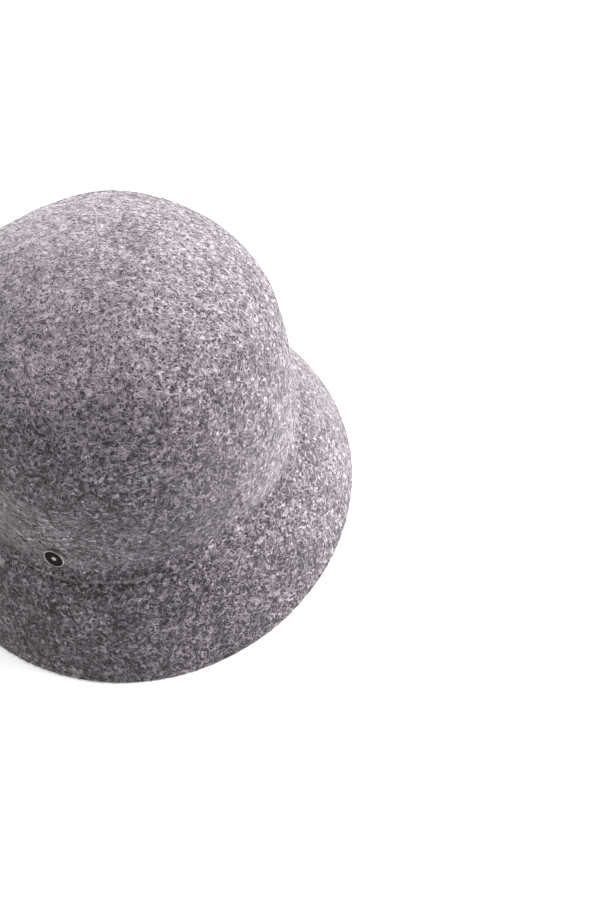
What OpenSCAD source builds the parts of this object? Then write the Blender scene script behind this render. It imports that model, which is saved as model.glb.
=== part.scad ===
// Women's wool-felt cloche hat with a short, steep brim, standing on its brim edge.
// The front is at -Y and the back at +Y. The origin is at the middle of the base, +Z up.

/* [Crown] */
// Half width of the felt at the foot of the crown, where the sweatband is sewn in
head_half_width = 93; // [87:0.5:99]
// Length of every oval divided by its width
oval = 1.09; // [1.04:0.01:1.16]
// Height of the crown above the brim break
crown_height = 112; // [102:1:120]
// How upright the wall stays before the shoulder
shoulder_power = 4.5; // [3:0.1:6]
// How tightly the shoulder turns into the top
top_power = 1.8; // [1.5:0.1:2.6]
// How far the foot of the wall flares
crown_flare = 3.2; // [1:0.1:4]
// Depth of the shallow channel above the soft ridge over the seam
channel_depth = 0.5; // [0:0.1:1]

/* [Brim] */
// Height of the brim break above the brim edge
brim_drop = 45; // [40:1:50]
// How far the brim edge stands out beyond the foot of the crown, at the sides
brim_reach = 31; // [24:1:38]
// How far the brim bows outward between break and edge
brim_bow = 1.6; // [0:0.2:3]
// Radius of the soft ridge that the felt makes over the seam
ridge_radius = 2.0; // [1.6:0.1:2.4]
// Thickness of the felt
felt = 2.8; // [2.4:0.1:3.2]

/* [Sweatband] */
// Height of the grosgrain ribbon
band_height = 26; // [22:1:30]
// Thickness of the ribbon
band_thickness = 0.6; // [0.4:0.1:0.8]
// Angle over which the ribbon's ends lap at the back, in degrees
band_lap = 12; // [8:1:16]

/* [Labels] */
// Width of the brand label sewn to the front of the sweatband
brand_width = 40; // [30:1:46]
// Height of the brand label
brand_height = 16; // [12:1:18]
// Width of the folded size tab below the brand label
size_tab_width = 12; // [10:1:14]
// Hanging length of the size tab
size_tab_length = 12; // [9:1:14]
// Width of the folded care label at the back
care_width = 22; // [18:1:26]
// Hanging length of the care label
care_length = 36; // [28:1:40]

/* [Badge] */
// Angle of the badge round the oval from +X, in degrees
badge_angle = -114.4; // [-118:0.2:-112]
// Height of the badge's centre above the base
badge_height = 63.3; // [62:0.1:66]
// Outer radius of the badge
badge_radius = 5.1; // [4.5:0.1:5.5]

/* [Hidden] */
$fn = 48;

// Colours
felt_grey = [0.50, 0.48, 0.50];
ribbon_grey = [0.24, 0.23, 0.25];
thread_grey = [0.36, 0.35, 0.37];
label_grey = [0.72, 0.71, 0.70];
satin_white = [0.93, 0.93, 0.91];
champagne = [0.78, 0.74, 0.68];
enamel_black = [0.04, 0.04, 0.05];
zinc = [0.62, 0.63, 0.65];

// Felt outline: number of points on each stretch, and where the stretches meet
dome_steps = 27;
dome_foot_angle = 10;
wall_steps = 10;
wall_foot = 3.8;
ridge_steps = 5;
brim_steps = 8;
flare_share = 0.45;
channel_centre = 11;
channel_reach = 7;
ridge_shift = [-0.3, 2.4];
ridge_from = 45;
ridge_to = -15;
ridge_rise = 1.5;
ridge_lead = 4.5;
notch = [1.9, 0.4];
brim_start = [2.8, 0];
brim_lead = 0.35;
edge_round = 0.6;
base_cut = 1;

// Sweatband and what lies on it
band_steps = 200;
band_gap = 0.3;
foot_flare = 2.2;
foot_rise = 3.5;
lap_lift = band_thickness + 0.05;
lap_ramp = 10;
lap_centre = 90;
washer_lift = 1.8;
washer_flat = 6;
washer_ramp = 10;
cloth_gap = 0.05;
thread_gap = 0.15;
label_thickness = 0.5;
label_steps = 16;
brand_angle = -90;
brand_foot = brim_drop + 5;

// Threads
thread = 0.4;
thread_fn = 16;
seam_pitch = 3;
seam_stitch = 3.2;
seam_height = 1.5;
join_pitch = 4;
join_stitch = 2.8;
join_inset = 2;
join_foot = 3.2;
label_pitch = 3.6;
label_stitch = 2.4;
label_margin = 1.2;

// Flaps
flap_layer = 0.3;
size_tab_thickness = 0.8;
care_thickness = 1.0;
flap_clear = 0.4;
size_tab_top = brand_foot - 0.5;
care_top = brim_drop + 24;
care_stitch_rise = 1.0;

// Badge
badge_lean = 10.5;
badge_turn = -3;
badge_standoff = 1.2;
badge_depth = 1.6;
rim_width = 0.5;
rim_edge = 0.16;
boss_radius = 1.2;
enamel_floor = 0.8;
enamel_depth = 0.45;
enamel_gap = 0.02;
prong_spacing = 5;
prong_width = 1.2;
prong_thickness = 0.4;
prong_fold = 1.9;
prong_fold_gap = 0.1;
prong_root = 0.5;
washer_radius = 5.4;
washer_thickness = 0.4;
washer_gap = 0.6;
slot_clear = 0.15;

// ---- Shape of the felt ----

// Share of the crown's height at z, for a crown of the given height
function share(z, height) = min(1, max(0, (z - brim_drop) / height));

// Radius of the crown along X at z, without its channel
function dome(z, height, half_width) =
    let(t = share(z, height))
    (half_width - crown_flare) * pow(1 - pow(t, shoulder_power), 1 / top_power)
    + crown_flare * pow(max(0, 1 - t / flare_share), 2);

// Smooth bump of height 1 at 0, which reaches 0 at both ends of its reach
function bump(x, reach) = abs(x) < reach ? pow(cos(90 * x / reach), 2) : 0;

// Outer and inner radius of the crown's wall at z. The outside swells into the ridge at its foot.
function crown_out(z) = dome(z, crown_height, head_half_width)
    - channel_depth * bump(z - brim_drop - channel_centre, channel_reach)
    + ridge_rise * pow(max(0, 1 - (z - brim_drop - wall_foot) / ridge_lead), 2);
function crown_in(z) = dome(z, crown_height - felt, head_half_width - felt);

// The brim's two ends outside, its direction and its outward normal in the outline
brim_top = [head_half_width, brim_drop] + brim_start;
brim_foot = [head_half_width + brim_reach, 0];
brim_run = (brim_foot - brim_top) / norm(brim_foot - brim_top);
brim_normal = [-brim_run[1], brim_run[0]];

// Point on the brim's outer face, from 0 at the break to 1 at the edge
function brim_out(s) = brim_top + s * (brim_foot - brim_top)
    + 4 * brim_bow * s * (1 - s) * brim_normal;

// Point on the brim's inner face, which ends on the base plane
inner_top = brim_top - felt * brim_normal;
inner_foot = [brim_foot[0] - felt / brim_normal[0], 0];
function brim_in(s) = inner_top + s * (inner_foot - inner_top)
    + 4 * brim_bow * s * (1 - s) * brim_normal;

hood_outline = concat(
    [for (i = [0:dome_steps])
        let(a = 90 - i * (90 - dome_foot_angle) / dome_steps,
            z = brim_drop + crown_height * sin(a))
        [crown_out(z), z]],
    [for (i = [1:wall_steps])
        let(from = crown_height * sin(dome_foot_angle),
            z = brim_drop + from + i * (wall_foot - from) / wall_steps)
        [crown_out(z), z]],
    [for (i = [1:ridge_steps])
        let(a = ridge_from + i * (ridge_to - ridge_from) / ridge_steps)
        [head_half_width, brim_drop] + ridge_shift + ridge_radius * [cos(a), sin(a)]],
    [[head_half_width, brim_drop] + notch],
    [for (i = [0:brim_steps - 1]) brim_out((i + brim_lead) / brim_steps)],
    [
        brim_foot - edge_round * 2 * brim_run,
        brim_foot - [edge_round, 0],
        brim_foot - [edge_round, base_cut],
        inner_foot - [0, base_cut]
    ],
    [for (i = [brim_steps:-1:0]) brim_in(i / brim_steps)],
    [for (i = [dome_steps + 4:-1:0])
        let(a = 90 - i * 88 / (dome_steps + 4),
            z = brim_drop + (crown_height - felt) * sin(a))
        [crown_in(z), z]]
);

// ---- Places round the oval ----

// Point of the oval of radius r along X, at angle a and height z
function on_oval(r, a, z) = [r * cos(a), oval * r * sin(a), z];

// Direction of the oval's outward normal at angle a
function normal_at(a) = atan2(sin(a) / oval, cos(a));

// Puts its children at a point of the oval, with +X outward, +Y along the oval and +Z up
module at_oval(r, a, z) {
    translate(on_oval(r, a, z))
        rotate([0, 0, normal_at(a)])
            children();
}

// 1 within a half angle of the centre, falling smoothly to 0 over the ramp
function plateau(a, centre, half, ramp) =
    let(past = (abs(a - centre) - half) / ramp)
    past <= 0 ? 1 : past >= 1 ? 0 : pow(cos(90 * past), 2);

// Radius of the ribbon's outer face: straight, but for a flare at the sewn foot that follows the
// felt, and a lift over the washer
function lining(a, z) =
    let(rise = z - brim_drop, up = rise / band_height)
    (1 - up) * crown_in(brim_drop) + up * crown_in(brim_drop + band_height) - band_gap
    + foot_flare * max(0, 1 - rise / foot_rise)
    - washer_lift * plateau(a > 180 ? a - 360 : a, badge_angle, washer_flat, washer_ramp);

// How far the ribbon's last end is lifted to lie over its first end, angle counted on past 360
function lap(a) = lap_lift * plateau(a, lap_centre + 360, band_lap / 2, lap_ramp);

// Radius of the ribbon's inner face where it lies on the lining
function band_face(a, z) = lining(a, z) - band_thickness;

// Point of the ribbon's inner face, and the direction of the outward normal there
function ribbon_point(a, z) = on_oval(band_face(a, z) - lap(a), a, z);
function ribbon_normal(a, z) =
    let(along = ribbon_point(a + 0.5, z) - ribbon_point(a - 0.5, z))
    atan2(-along[0], along[1]);

// Puts its children at a depth inside the ribbon's inner face, with +X outward and +Z up
module inside_ribbon(a, z, depth) {
    translate(ribbon_point(a, z))
        rotate([0, 0, ribbon_normal(a, z)])
            translate([-depth, 0, 0])
                children();
}

// Closed curved strip of cloth from one angle to another, through the given heights from its
// lower edge to its upper edge. lift is how far its outer face stands in from the lining, as
// a function of the angle.
module strip(from, to, steps, heights, thickness, lift) {
    levels = len(heights);
    ring = 2 * levels;
    corners = [for (i = [0:steps])
        let(a = from + i * (to - from) / steps, in = lift(a))
        each concat(
            [for (z = heights) on_oval(lining(a, z) - in, a, z)],
            [for (k = [levels - 1:-1:0])
                let(z = heights[k])
                on_oval(lining(a, z) - in - thickness, a, z)]
        )];
    sides = [for (i = [0:steps - 1], k = [0:ring - 1])
        let(p = ring * i + k, q = ring * i + (k + 1) % ring)
        each [[p, q, q + ring], [p, q + ring, p + ring]]];
    first = [for (k = [0:levels - 2])
        each [[k, ring - 1 - k, ring - 2 - k], [k, ring - 2 - k, k + 1]]];
    last = [for (f = first) [f[0], f[2], f[1]] + ring * steps * [1, 1, 1]];
    polyhedron(corners, concat(sides, first, last), convexity = 6);
}

// One stitch of thread along the oval
module stitch(length) {
    rotate([90, 0, 0])
        cylinder(d = thread, h = length, center = true, $fn = thread_fn);
}

// One stitch of thread that stands upright
module upright_stitch(length) {
    cylinder(d = thread, h = length, center = true, $fn = thread_fn);
}

// Folded tab of ribbon that hangs from the origin, its width along X and open at the top
module folded_tab(width, length, thickness) {
    slot = thickness - 2 * flap_layer;
    rotate([90, 0, 90])
        linear_extrude(height = width, center = true)
            difference() {
                union() {
                    translate([-thickness / 2, thickness / 2 - length])
                        square([thickness, length - thickness / 2]);
                    translate([0, thickness / 2 - length])
                        circle(d = thickness);
                }
                translate([-slot / 2, thickness / 2 - length])
                    square([slot, length]);
            }
}

// ---- Sub-parts ----

// The crown and brim, one blocked piece of felt. It is turned in quarters, joined and then
// cut flat at the base.
module felt_hood() {
    color(felt_grey)
        difference() {
            scale([1, oval, 1])
                for (quarter = [45:90:315])
                    rotate([0, 0, quarter])
                        rotate_extrude(angle = 90, $fn = 96)
                            polygon(hood_outline);
            translate([0, 0, -base_cut])
                cube([4 * brim_foot[0], 4 * brim_foot[0], 2 * base_cut], center = true);
        }
}

module sweatband() {
    color(ribbon_grey)
        strip(lap_centre - band_lap / 2, lap_centre + 360 + band_lap / 2, band_steps,
            [brim_drop, brim_drop + foot_rise, brim_drop + band_height], band_thickness,
            function(a) lap(a));
}

// Outer thread of the lockstitch, half sunk in the notch under the ridge
module seam_needle_thread() {
    color(thread_grey)
        for (a = [0:seam_pitch:359])
            at_oval(head_half_width + notch[0], a, brim_drop + notch[1])
                stitch(seam_stitch);
}

// Inner thread of the lockstitch, along the ribbon's lower edge
module seam_bobbin_thread() {
    z = brim_drop + seam_height;
    first = lap_centre + (band_lap + seam_pitch) / 2;
    color(thread_grey)
        for (a = [first:seam_pitch:first + 360 - seam_pitch])
            inside_ribbon(a, z, thread / 2 + thread_gap)
                stitch(seam_stitch);
}

// Row of stitches that closes the ribbon's lap
module sweatband_join_stitches() {
    a = lap_centre + 360 + band_lap / 2 - join_inset;
    count = floor((band_height - join_foot - join_inset) / join_pitch);
    color(thread_grey)
        for (i = [0:count - 1])
            let(z = brim_drop + join_foot + join_stitch / 2 + i * join_pitch)
            inside_ribbon(a, z, thread / 2 + thread_gap)
                upright_stitch(join_stitch);
}

// Half of the angle that the brand label covers
brand_half_angle = brand_width / 2 / band_face(brand_angle, brand_foot) * 180 / PI;

module brand_label() {
    color(label_grey)
        strip(brand_angle - brand_half_angle, brand_angle + brand_half_angle, label_steps,
            [brand_foot, brand_foot + brand_height], label_thickness,
            function(a) band_thickness + cloth_gap);
}

module brand_label_stitches() {
    step = label_pitch / brand_width * 2 * brand_half_angle;
    half = brand_half_angle - step / 2;
    color(thread_grey)
        for (z = [brand_foot + label_margin, brand_foot + brand_height - label_margin])
            for (a = [brand_angle - half:step:brand_angle + half])
                inside_ribbon(a, z, label_thickness + cloth_gap + thread / 2 + thread_gap)
                    stitch(label_stitch);
}

// Distance from the middle of the hat to a flat flap's mid-plane, clear of the curved face
function flap_y(face_r, width, thickness) =
    oval * sqrt(pow(face_r, 2) - pow(width / 2, 2)) - flap_clear - thickness / 2;

size_tab_y = -flap_y(band_face(brand_angle, brand_foot) - label_thickness - cloth_gap,
    size_tab_width, size_tab_thickness);
care_y = flap_y(band_face(lap_centre, care_top) - lap_lift, care_width, care_thickness);

module size_tab() {
    color(satin_white)
        translate([0, size_tab_y, size_tab_top])
            folded_tab(size_tab_width, size_tab_length, size_tab_thickness);
}

module care_label() {
    color(satin_white)
        translate([0, care_y, care_top])
            folded_tab(care_width, care_length, care_thickness);
}

// Stitches that hold the care label to the ribbon, just above the edge that it hangs from
module care_label_stitches() {
    z = care_top + care_stitch_rise;
    step = label_pitch / band_face(lap_centre, z) * 180 / PI;
    count = floor(care_width / label_pitch);
    color(thread_grey)
        for (i = [0:count - 1])
            inside_ribbon(lap_centre + 360 + (i - (count - 1) / 2) * step, z,
                thread / 2 + thread_gap)
                stitch(label_stitch);
}

// ---- Badge ----

// Slope of the wall behind the badge
wall_lean = atan2(crown_in(badge_height - 6) - crown_in(badge_height + 6), 12);

// Puts its children on the wall at the badge, with +X along the wall's outward normal
module at_badge() {
    at_oval(crown_out(badge_height), badge_angle, badge_height)
        rotate([0, -wall_lean, 0])
            children();
}

// Turns a profile drawn as [radius, depth] about the badge's own axis
module turned_badge() {
    at_badge()
        translate([badge_standoff, 0, 0])
            rotate([0, -badge_lean, badge_turn])
                rotate([0, 90, 0])
                    rotate_extrude($fn = 64)
                        children();
}

// Half section of the cast plate: a raised rim, a sunk floor and a low boss in the middle
rim_inner = badge_radius - rim_width;
plate_section = [
    [0, 0],
    [badge_radius - rim_edge, 0],
    [badge_radius, rim_edge],
    [badge_radius, badge_depth - rim_edge],
    [badge_radius - rim_edge, badge_depth],
    [rim_inner + rim_edge / 2, badge_depth],
    [rim_inner, badge_depth - rim_edge],
    [rim_inner, enamel_floor],
    [boss_radius, enamel_floor],
    [boss_radius, badge_depth - 2 * rim_edge],
    [boss_radius - 2 * rim_edge, badge_depth],
    [0, badge_depth + rim_edge]
];

// Depth inside the wall at which the prongs fold over the washer
prong_end = felt + washer_gap + washer_thickness + prong_fold_gap + prong_thickness;

// One prong: a strip through the felt, with its end folded outward along +Y
module prong() {
    translate([-prong_end, -prong_thickness / 2, -prong_width / 2]) {
        cube([prong_end + badge_standoff + prong_root, prong_thickness, prong_width]);
        cube([prong_thickness, prong_fold, prong_width]);
    }
}

module badge_plate() {
    color(champagne) {
        turned_badge()
            polygon(plate_section);
        at_badge()
            for (side = [0, 1])
                mirror([0, side, 0])
                    translate([0, prong_spacing / 2, 0])
                        prong();
    }
}

// Ring of enamel that fills the plate's floor
module badge_enamel() {
    color(enamel_black)
        turned_badge()
            translate([boss_radius + enamel_gap, enamel_floor + enamel_gap])
                square([rim_inner - boss_radius - 2 * enamel_gap, enamel_depth]);
}

// Plate inside the felt that the prongs are clinched over
module badge_washer() {
    color(zinc)
        at_badge()
            translate([-felt - washer_gap - washer_thickness, 0, 0])
                difference() {
                    rotate([0, 90, 0])
                        cylinder(r = washer_radius, h = washer_thickness, $fn = 64);
                    for (side = [-1, 1])
                        translate([-1, side * prong_spacing / 2 - prong_thickness / 2 - slot_clear,
                                -prong_width / 2 - slot_clear])
                            cube([washer_thickness + 2, prong_thickness + 2 * slot_clear,
                                prong_width + 2 * slot_clear]);
                }
}

felt_hood();
sweatband();
seam_needle_thread();
seam_bobbin_thread();
sweatband_join_stitches();
brand_label();
brand_label_stitches();
size_tab();
care_label();
care_label_stitches();
badge_plate();
badge_enamel();
badge_washer();
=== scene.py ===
import math

import bpy
import numpy as np
from mathutils import Matrix, Vector


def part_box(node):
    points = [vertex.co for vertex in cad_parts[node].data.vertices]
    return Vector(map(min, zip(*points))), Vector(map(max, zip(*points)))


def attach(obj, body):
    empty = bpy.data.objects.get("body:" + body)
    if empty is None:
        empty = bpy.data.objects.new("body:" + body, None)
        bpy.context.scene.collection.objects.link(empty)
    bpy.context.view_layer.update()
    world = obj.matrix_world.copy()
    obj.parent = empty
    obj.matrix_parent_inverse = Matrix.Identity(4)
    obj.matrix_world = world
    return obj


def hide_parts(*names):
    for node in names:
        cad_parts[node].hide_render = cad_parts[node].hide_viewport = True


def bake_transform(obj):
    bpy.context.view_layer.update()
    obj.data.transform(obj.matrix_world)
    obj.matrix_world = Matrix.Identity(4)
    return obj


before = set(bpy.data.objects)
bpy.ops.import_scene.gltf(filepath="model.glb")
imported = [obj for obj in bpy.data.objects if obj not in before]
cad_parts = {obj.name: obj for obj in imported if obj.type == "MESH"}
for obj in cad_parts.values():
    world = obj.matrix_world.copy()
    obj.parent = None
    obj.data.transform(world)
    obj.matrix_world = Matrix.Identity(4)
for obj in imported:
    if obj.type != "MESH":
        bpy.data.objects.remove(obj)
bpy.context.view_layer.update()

# A grey wool-felt cloche hat with its sweatband, labels, threads and badge. Lengths are in
# millimetres until mesh_object() turns them into metres. The front is at -Y.
MM = 0.001
RANDOM = np.random.default_rng(20)


def box_mm(node):
    """Lowest and highest corner of a CAD node, in millimetres."""
    low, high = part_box(node)
    return np.array(low) / MM, np.array(high) / MM


HOOD_HIGH = box_mm("felt_hood")[1]
BAND_LOW, BAND_HIGH = box_mm("sweatband")
SEAM_HIGH = box_mm("seam_needle_thread")[1]
BRAND_LOW, BRAND_HIGH = box_mm("brand_label")
TAB_LOW, TAB_HIGH = box_mm("size_tab")
CARE_LOW, CARE_HIGH = box_mm("care_label")
BADGE_LOW, BADGE_HIGH = box_mm("badge_plate")

# Felt outline. Pairs are (radius, height) from the foot of the crown's wall.
FELT = 2.8
OVAL = HOOD_HIGH[1] / HOOD_HIGH[0]
BREAK_Z = BAND_LOW[2]
CROWN_HEIGHT = HOOD_HIGH[2] - BREAK_Z
THREAD_RADIUS = 0.2
NOTCH = (1.9, 0.4)
HALF_WIDTH = SEAM_HIGH[0] - NOTCH[0] - THREAD_RADIUS
SHOULDER_POWER = 4.5
TOP_POWER = 1.8
FLARE = 3.2
FLARE_SHARE = 0.45
CHANNEL_DEPTH = 0.5
CHANNEL_RISE = 11.0
CHANNEL_REACH = 7.0
WALL_FOOT = 3.8
RIDGE_CENTRE = (-0.3, 2.4)
RIDGE_RADIUS = 2.0
RIDGE_ARC = (40, -15)
RIDGE_RISE = 1.5
RIDGE_LEAD = 4.5
BRIM_START = (2.8, 0.0)
BRIM_BOW = 1.6
BRIM_STEPS = 200
# Steps at the brim's top that the ridge stands over
BRIM_UNDER_RIDGE = 9
EDGE_ROUND = 0.6
EDGE_CLEAR = 1.6 * EDGE_ROUND
BRIM_FOOT_X = HOOD_HIGH[0] + EDGE_ROUND
# Stretches of the felt's outline
CROWN, BRIM, EDGE, INSIDE = 0, 1, 2, 3
OUTLINE_STEP = 0.1
OUTLINE_SOFT = 9

# The felt's handwork, and the grid of its skin, which is spaced by stretch
HOOD_COLUMNS = 600
HOOD_SPACING = (1.3, 1.25, 0.35, 2.6)
RIDGE_SPACING = 0.35
RIDGE_ZONE = (3.5, 5.5)
HOOD_MIDDLE = (0, 0, 60)
RIPPLE_SIZE = 0.16
DENT_SIDE = 0.15
DENT_TOP = 0.6
DENT_TOP_Z = (35.0, 95.0)
EDGE_FREE_Z = 12.0
# A soft hollow at the front right of the crown, left by the hand that shaped it.
HOLLOW_ANGLE = -63.0
HOLLOW_Z = 104.0
HOLLOW_REACH = (26.0, 15.0)
HOLLOW_DEPTH = 2.4
# Degrees of oval from stitch to stitch, and the depth and reach of the pit at each
STITCH_PITCH = 3.0
STITCH_PULL = 0.9
STITCH_REACH = 0.8

# Wool fibres. The shares say how thick they are on the cut edge and inside, beside outside.
FIBRES_PER_PIECE = 8000
# Painted light: over the top of the crown the tones are pulled towards the middle, as a painted haze
# where the light falls, and below it they are pushed apart, as painted shade contrast.
LIT_TOP_Z = (110.0, 148.0)
LIT_TOP_HAZE_SHARE = 0.4
SHADED_CONTRAST_SHARE = 0.2
LYING = 88000
LYING_SHARES = (2.4, 0.35)
LYING_CURVE_STEPS = 32
LYING_POINTS = 5
LYING_RADIUS = (0.045, 0.085)
LYING_BASE = 0.06
TONE_SCATTER = 0.3
TONE_CUTS = (0, 0.36, 0.68, 1)
STANDING = 32000
STANDING_SHARES = (7.0, 0.2)
STANDING_RADIUS = 0.03
BADGE_CLEAR = 8.0
TABLE_CLEAR = 0.02

# Sweatband
BAND_THICKNESS = 0.6
BAND_GAP = 0.3
FOOT_FLARE = 2.2
FOOT_RISE = 3.5
LAP_CENTRE = 90.0
LAP_HALF = 6.0
LAP_LIFT = 0.65
LAP_RAMP = 10.0
BADGE_ANGLE = -114.4
WASHER_LIFT = 1.8
WASHER_HALF = 6.0
WASHER_RAMP = 10.0
RIB_PITCH = 1.15
RIB_HEIGHT = 0.1
SELVEDGE = 1.3
BOBBIN_RISE = 1.5

# Labels. A border line runs at half widths from the brand label's middle. A tail is its height
# and its gap to the cloth behind it.
BRAND_MIDDLE = 8.0
BRAND_BORDER = (17.6, 4.9)
BORDER_HALF = 0.28
CARE_CLOTH = 0.28
CARE_TAIL = (1.6, 0.22)
TAB_CLOTH = 0.24
TAB_TAIL = (2.6, 0.28)

# Threads. A stitch is its length and how far it arches off the cloth.
NEEDLE_STITCH = (3.6, -0.05)
BOBBIN_STITCH = (4.0, 0.16)
LAP_STITCH = (3.6, 0.16)
LABEL_STITCH = (2.9, 0.16)
BRAND_ROW_RADIUS = 86.5
CARE_ROW_RADIUS = 86.0


# ---------------------------------------------------------------- small helpers


def smooth(x):
    """0 below 0, 1 above 1 and a smooth step between."""
    x = np.clip(x, 0.0, 1.0)
    return x * x * (3 - 2 * x)


def plateau(angle, centre, half, ramp):
    """1 within half of the centre, falling smoothly to 0 over the ramp."""
    past = np.clip((np.abs(angle - centre) - half) / ramp, 0.0, 1.0)
    return np.cos(np.pi / 2 * past) ** 2


def mesh_object(name, points, faces, uv=None):
    """A smooth-shaded object from points in millimetres and faces of one size."""
    points = np.asarray(points, np.float32) * MM
    faces = np.asarray(faces, np.int32)
    count, size = faces.shape
    mesh = bpy.data.meshes.new(name)
    mesh.vertices.add(len(points))
    mesh.vertices.foreach_set("co", points.ravel())
    mesh.loops.add(count * size)
    mesh.loops.foreach_set("vertex_index", faces.ravel())
    mesh.polygons.add(count)
    mesh.polygons.foreach_set("loop_start", np.arange(0, count * size, size, dtype=np.int32))
    if uv is not None:
        layer = mesh.uv_layers.new(name="Cloth")
        layer.data.foreach_set("uv", np.asarray(uv, np.float32)[faces.ravel()].ravel())
    mesh.update(calc_edges=True)
    mesh.validate()
    mesh.shade_smooth()
    made = bpy.data.objects.new(name, mesh)
    bpy.context.scene.collection.objects.link(made)
    return made


def grid_faces(rows, columns, wrap_rows=False, wrap_columns=False):
    """Quads of a grid of points stored row by row."""
    r = np.arange(rows if wrap_rows else rows - 1)
    c = np.arange(columns if wrap_columns else columns - 1)
    r, c = np.meshgrid(r, c, indexing="ij")
    up, right = (r + 1) % rows, (c + 1) % columns
    quads = [r * columns + c, r * columns + right, up * columns + right, up * columns + c]
    return np.stack(quads, -1).reshape(-1, 4)


def on_oval(radius, angle, z):
    """Points of the oval of a radius along X, at angles in degrees and heights z."""
    a = np.radians(angle)
    flat = [radius * np.cos(a), OVAL * radius * np.sin(a), np.broadcast_to(z, np.shape(a * radius))]
    return np.stack(np.broadcast_arrays(*flat), -1)


# ---------------------------------------------------------------- shape of the felt


def dome(z, height, half_width):
    """Radius of the crown at z, for a crown of the given height."""
    t = np.clip((z - BREAK_Z) / height, 0.0, 1.0)
    body = (half_width - FLARE) * (1 - t**SHOULDER_POWER) ** (1 / TOP_POWER)
    return body + FLARE * np.maximum(0, 1 - t / FLARE_SHARE) ** 2


def crown_out(z):
    """Outer radius of the crown at z, with its channel and the swell into the ridge."""
    past = np.clip(np.abs(z - BREAK_Z - CHANNEL_RISE) / CHANNEL_REACH, 0.0, 1.0)
    channel = CHANNEL_DEPTH * np.cos(np.pi / 2 * past) ** 2
    swell = RIDGE_RISE * np.maximum(0, 1 - (z - BREAK_Z - WALL_FOOT) / RIDGE_LEAD) ** 2
    return dome(z, CROWN_HEIGHT, HALF_WIDTH) - channel + swell


def crown_in(z):
    """Inner radius of the crown at z."""
    return dome(z, CROWN_HEIGHT - FELT, HALF_WIDTH - FELT)


def evenly(points, step):
    """The same line with points a step apart."""
    along = np.concatenate([[0], np.cumsum(np.linalg.norm(np.diff(points, axis=0), axis=1))])
    at = np.linspace(0, along[-1], int(along[-1] / step) + 1)
    return np.stack([np.interp(at, along, points[:, k]) for k in (0, 1)], -1)


def hood_outline():
    """Outline of the felt as (radius, height) from the outer top, round the edge to the inner top.

    Returns the points, and each point's stretch. The ridge belongs to the brim's stretch.
    """
    corner = np.array([HALF_WIDTH, BREAK_Z])
    top = corner + BRIM_START
    foot = np.array([BRIM_FOOT_X, 0.0])
    run = (foot - top) / np.linalg.norm(foot - top)
    normal = np.array([-run[1], run[0]])
    inner_top = top - FELT * normal
    inner_foot = np.array([foot[0] - FELT / normal[0], 0.0])
    turn = np.linspace(np.pi / 2, math.asin(WALL_FOOT / CROWN_HEIGHT), 500)
    wall = BREAK_Z + CROWN_HEIGHT * np.sin(turn)
    crown = np.stack([crown_out(wall), wall], -1)
    bend = np.radians(np.linspace(*RIDGE_ARC, 14))
    ridge = corner + RIDGE_CENTRE + RIDGE_RADIUS * np.stack([np.cos(bend), np.sin(bend)], -1)
    share = np.linspace(0, 1, BRIM_STEPS)[:, None]
    bow = 4 * BRIM_BOW * share * (1 - share) * normal
    brim = (top + share * (foot - top) + bow)[BRIM_UNDER_RIDGE:]
    brim = brim[brim[:, 1] > EDGE_CLEAR]
    bevel = np.radians(np.linspace(20, -90, 9))
    outer_edge = [foot[0] - 1.3 * EDGE_ROUND, EDGE_ROUND] + EDGE_ROUND * np.stack(
        [np.cos(bevel), np.sin(bevel)], -1)
    bevel = np.radians(np.linspace(-90, -190, 9))
    inner_edge = [inner_foot[0] + 0.8 * EDGE_ROUND, EDGE_ROUND] + EDGE_ROUND * np.stack(
        [np.cos(bevel), np.sin(bevel)], -1)
    under = (inner_top + share * (inner_foot - inner_top) + bow)[::-1]
    under = under[under[:, 1] > EDGE_CLEAR]
    turn = np.linspace(math.radians(3), np.pi / 2, 400)
    wall = BREAK_Z + (CROWN_HEIGHT - FELT) * np.sin(turn)
    inside = np.stack([crown_in(wall), wall], -1)
    stretches = [
        (crown, CROWN),
        (np.vstack([ridge, corner + NOTCH, brim]), BRIM),
        (np.vstack([outer_edge, inner_edge]), EDGE),
        (np.vstack([under, inside]), INSIDE),
    ]
    points = np.vstack([p for p, _ in stretches])
    kinds = np.concatenate([np.full(len(p), k) for p, k in stretches])
    line = evenly(points, OUTLINE_STEP)
    nearest = np.argmin(np.linalg.norm(line[:, None] - points[None], axis=2), axis=1)
    soft = np.hanning(OUTLINE_SOFT) / np.hanning(OUTLINE_SOFT).sum()
    pad = OUTLINE_SOFT // 2
    padded = np.pad(line, ((pad, pad), (0, 0)), mode="edge")
    line = np.stack([np.convolve(padded[:, k], soft, mode="valid") for k in (0, 1)], -1)
    line[0, 0] = line[-1, 0] = 0.0
    return line, kinds[nearest]


OUTLINE, STRETCH = hood_outline()
ALONG = np.concatenate([[0], np.cumsum(np.linalg.norm(np.diff(OUTLINE, axis=0), axis=1))])


def waves(count, shortest, longest, seed):
    """Directions, phases and sizes of a smooth random field in space."""
    maker = np.random.default_rng(seed)
    way = maker.normal(size=(count, 3))
    way /= np.linalg.norm(way, axis=1)[:, None]
    length = maker.uniform(shortest, longest, count)
    return way * (2 * np.pi / length)[:, None], maker.uniform(0, 2 * np.pi, count)


def field(points, made):
    """A smooth random field of about unit size at the points."""
    way, phase = made
    return np.sin(points @ way.T + phase).sum(-1) / math.sqrt(len(phase) / 2)


DENTS = waves(14, 45, 110, 3)
RIPPLES = waves(18, 14, 34, 4)
SEAM_POINT = np.array([HALF_WIDTH + NOTCH[0], BREAK_Z + NOTCH[1]])
SEAM_AT = ALONG[np.argmin(np.linalg.norm(OUTLINE - SEAM_POINT, axis=1))]


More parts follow.
